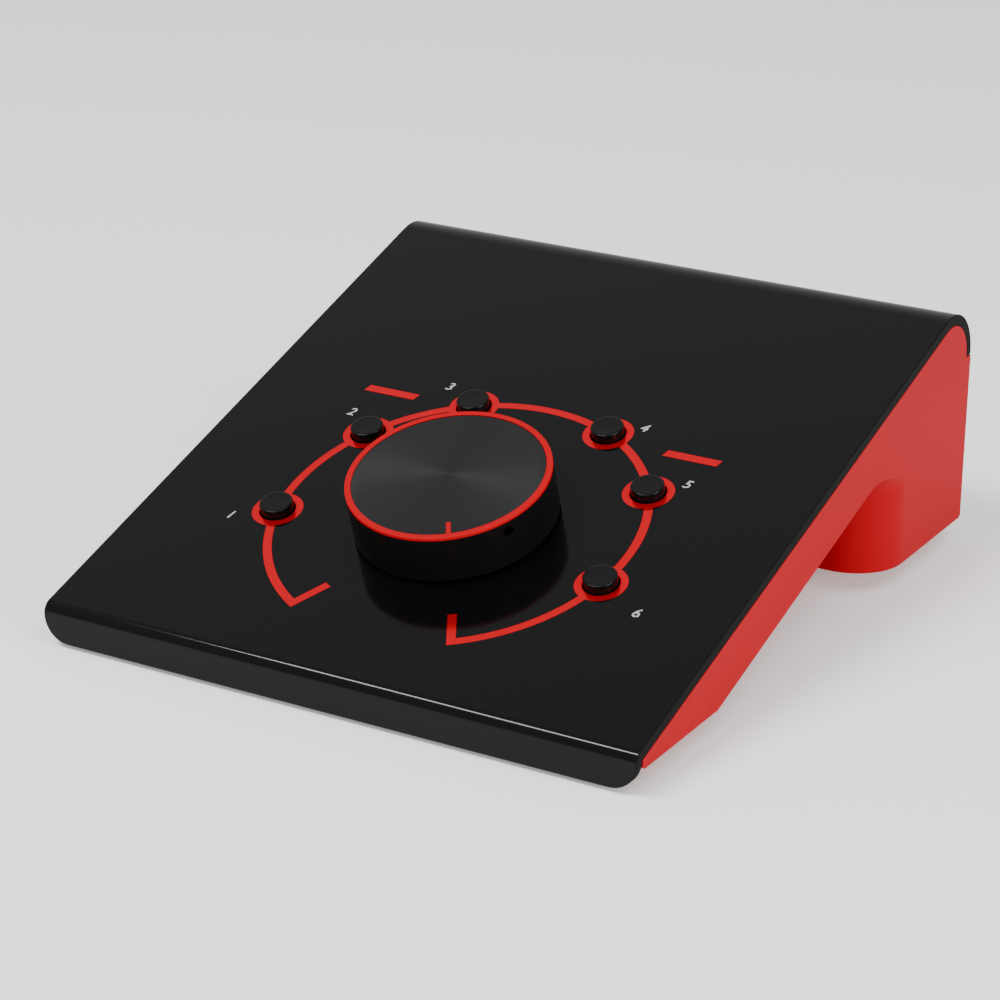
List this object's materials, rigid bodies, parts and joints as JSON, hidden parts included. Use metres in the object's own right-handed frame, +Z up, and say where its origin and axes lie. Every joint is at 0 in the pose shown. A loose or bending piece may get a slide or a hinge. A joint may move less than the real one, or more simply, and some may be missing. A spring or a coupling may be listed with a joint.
{
  "type": "desktop passive monitor controller",
  "caption": "Wedge-shaped desktop monitor controller: bent black sheet over a red body, a large volume knob, push buttons around it and phone jacks at the back.",
  "frame": {"origin": "under the middle of the whole object, on the plane its feet stand on", "axes": "+Z up, -Y the low front edge, +X to the right of the user; the control surface rises towards +Y"},
  "size_m": [0.17, 0.195, 0.0681],
  "materials": {
    "black_sheet": "smooth satin-gloss black powder coat",
    "red_body": "moulded red, fine satin texture",
    "knob_black": "smooth black",
    "spun_disc": "black anodised, spun finish",
    "red_inlay": "bright red",
    "button_black": "smooth black",
    "black_nylon": "moulded",
    "switch_body": "moulded",
    "foot_rubber": "matte",
    "black_plate": "satin black powder coat",
    "jack_nylon": "moulded nylon",
    "nickel": "nickel plated",
    "brass": "turned",
    "steel": "zinc plated",
    "black_screw": "blackened steel",
    "circuit_board": "green solder resist",
    "resistor": "lacquered",
    "ribbon_grey": "ribbon cable"
  },
  "bodies": {
    "case": {"board_pillars": "brass", "board_resistors": "resistor", "board_screws": "steel", "body_shell": "red_body", "control_board": "circuit_board", "control_header": "black_nylon", "cover_pillars": "brass", "cover_screws": "black_screw", "foot_front_left": "foot_rubber", "foot_front_right": "foot_rubber", "foot_rear_left": "foot_rubber", "foot_rear_right": "foot_rubber", "foot_screws": "black_screw", "jack_1": "jack_nylon", "jack_2": "jack_nylon", "jack_3": "jack_nylon", "jack_4": "jack_nylon", "jack_5": "jack_nylon", "jack_6": "jack_nylon", "jack_7": "jack_nylon", "jack_8": "jack_nylon", "jack_board": "circuit_board", "jack_board_screws": "steel", "jack_header": "black_nylon", "jack_nuts": "nickel", "jack_plate": "black_plate", "jack_plate_screws": "black_screw", "jack_washers": "nickel", "pot_body": "steel", "pot_bushing": "brass", "pot_nut": "nickel", "pot_washer": "nickel", "ribbon_cable": "ribbon_grey", "switch_1_case": "switch_body", "switch_2_case": "switch_body", "switch_3_case": "switch_body", "switch_4_case": "switch_body", "switch_5_case": "switch_body", "switch_6_case": "switch_body", "switch_springs": "steel", "top_sheet": "black_sheet"},
    "volume_knob": {"pot_shaft": "steel", "knob": "knob_black", "knob_set_screw": "steel", "knob_ring": "red_inlay", "knob_pointer": "red_inlay", "knob_disc": "spun_disc"},
    "button_1": {"button_1_cap": "button_black", "button_1_plunger": "black_nylon"},
    "button_2": {"button_2_cap": "button_black", "button_2_plunger": "black_nylon"},
    "button_3": {"button_3_cap": "button_black", "button_3_plunger": "black_nylon"},
    "button_4": {"button_4_cap": "button_black", "button_4_plunger": "black_nylon"},
    "button_5": {"button_5_cap": "button_black", "button_5_plunger": "black_nylon"},
    "button_6": {"button_6_cap": "button_black", "button_6_plunger": "black_nylon"}
  },
  "joints": [
    {"name": "volume_turn", "type": "hinge", "parent": "case", "child": "volume_knob", "pos_m": [0, -0.03572, 0.03099], "axis": [0, -0.3107, 0.9505], "range_deg": [0, 300]},
    {"name": "button_1_press", "type": "slide", "parent": "case", "child": "button_1", "axis": [0, 0.3107, -0.9505], "range_m": [0, 0.002], "stiffness_N_per_m": 300, "springref_m": -0.001, "deforming": ["switch_springs"]},
    {"name": "button_2_press", "type": "slide", "parent": "case", "child": "button_2", "axis": [0, 0.3107, -0.9505], "range_m": [0, 0.002], "stiffness_N_per_m": 300, "springref_m": -0.001, "deforming": ["switch_springs"]},
    {"name": "button_3_press", "type": "slide", "parent": "case", "child": "button_3", "axis": [0, 0.3107, -0.9505], "range_m": [0, 0.002], "stiffness_N_per_m": 300, "springref_m": -0.001, "deforming": ["switch_springs"]},
    {"name": "button_4_press", "type": "slide", "parent": "case", "child": "button_4", "axis": [0, 0.3107, -0.9505], "range_m": [0, 0.002], "stiffness_N_per_m": 300, "springref_m": -0.001, "deforming": ["switch_springs"]},
    {"name": "button_5_press", "type": "slide", "parent": "case", "child": "button_5", "axis": [0, 0.3107, -0.9505], "range_m": [0, 0.002], "stiffness_N_per_m": 300, "springref_m": -0.001, "deforming": ["switch_springs"]},
    {"name": "button_6_press", "type": "slide", "parent": "case", "child": "button_6", "axis": [0, 0.3107, -0.9505], "range_m": [0, 0.002], "stiffness_N_per_m": 300, "springref_m": -0.001, "deforming": ["switch_springs"]}
  ]
}
